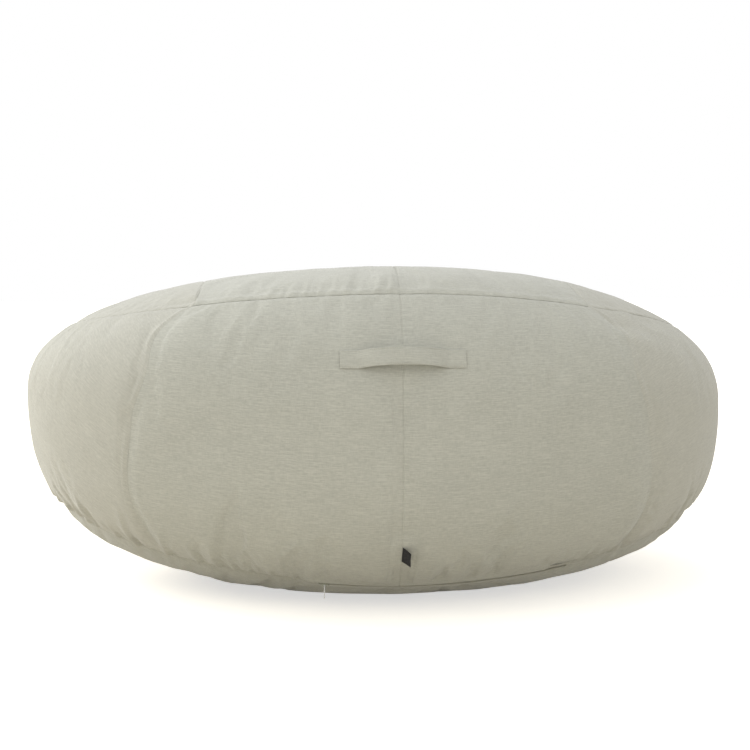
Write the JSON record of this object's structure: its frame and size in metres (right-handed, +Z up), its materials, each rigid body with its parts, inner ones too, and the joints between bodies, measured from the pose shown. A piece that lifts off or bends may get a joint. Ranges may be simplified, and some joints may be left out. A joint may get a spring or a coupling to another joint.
{
  "type": "zip-off covered lounge pouf",
  "caption": "Plump pebble-shaped fabric cover filled with beads, with a sewn-on carry handle at the front, a zip along the base seam, a flag label and an inner bag.",
  "frame": {"origin": "on the floor under the middle of the part's box", "axes": "+X to the right of someone facing the handle side, which is -Y, and +Z up"},
  "size_m": [1.5, 1.1142, 0.673],
  "materials": {
    "cover_fabric": "matte",
    "base_fabric": "matte",
    "handle_webbing": "matte",
    "zip_tape": "matte",
    "zip_coil": "satin",
    "slider_metal": "satin",
    "pull_metal": "satin",
    "label_cloth": "matte",
    "liner_cloth": "matte",
    "liner_coil": "satin",
    "beads": "matte"
  },
  "bodies": {
    "pouf": {"front_panel_left": "cover_fabric", "front_panel_right": "cover_fabric", "side_panel_left": "cover_fabric", "side_panel_right": "cover_fabric", "back_panel_left": "cover_fabric", "back_panel_right": "cover_fabric", "top_panel_left": "cover_fabric", "top_panel_right": "cover_fabric", "top_end_left": "cover_fabric", "top_end_right": "cover_fabric", "base_panel": "base_fabric", "zip_tape_upper": "zip_tape", "zip_tape_lower": "zip_tape", "zip_coil_upper": "zip_coil", "zip_coil_lower": "zip_coil", "zip_stop_closed": "zip_coil", "zip_stop_open": "zip_coil", "handle_end_left": "handle_webbing", "handle_end_right": "handle_webbing", "inner_liner": "liner_cloth", "liner_zip_tape_front": "liner_cloth", "liner_zip_tape_back": "liner_cloth", "liner_zip_coil_front": "liner_coil", "liner_zip_coil_back": "liner_coil", "bead_filling": "beads"},
    "slider": {"zip_slider": "slider_metal"},
    "pull": {"zip_pull": "pull_metal"},
    "handle": {"handle_grip": "handle_webbing"},
    "label": {"label_flag": "label_cloth"},
    "liner_slider": {"liner_zip_slider": "slider_metal"}
  },
  "joints": [
    {"name": "zip_slide", "type": "hinge", "parent": "pouf", "child": "slider", "pos_m": [0.0125, 0.49086, 0.40392], "axis": [0.0023, -0.3734, 0.9277], "range_deg": [0, 29.5]},
    {"name": "zip_pull_swing", "type": "hinge", "parent": "slider", "child": "pull", "pos_m": [-0.13796, -0.37369, 0.05356], "axis": [-0.1031, -0.8838, 0.4563], "range_deg": [-75, 75]},
    {"name": "handle_tilt", "type": "hinge", "parent": "pouf", "child": "handle", "pos_m": [0.002, -0.51528, 0.509], "axis": [1, 0, 0], "range_deg": [-30, 30], "stiffness_Nm_per_rad": 0.02},
    {"name": "label_flap", "type": "hinge", "parent": "pouf", "child": "label", "pos_m": [0.00317, -0.48622, 0.13545], "axis": [-0.0357, -0.6454, 0.7631], "range_deg": [-110, 35], "stiffness_Nm_per_rad": 0.0005},
    {"name": "liner_zip_slide", "type": "slide", "parent": "pouf", "child": "liner_slider", "axis": [1, 0, 0], "range_m": [0, 0.376]}
  ]
}
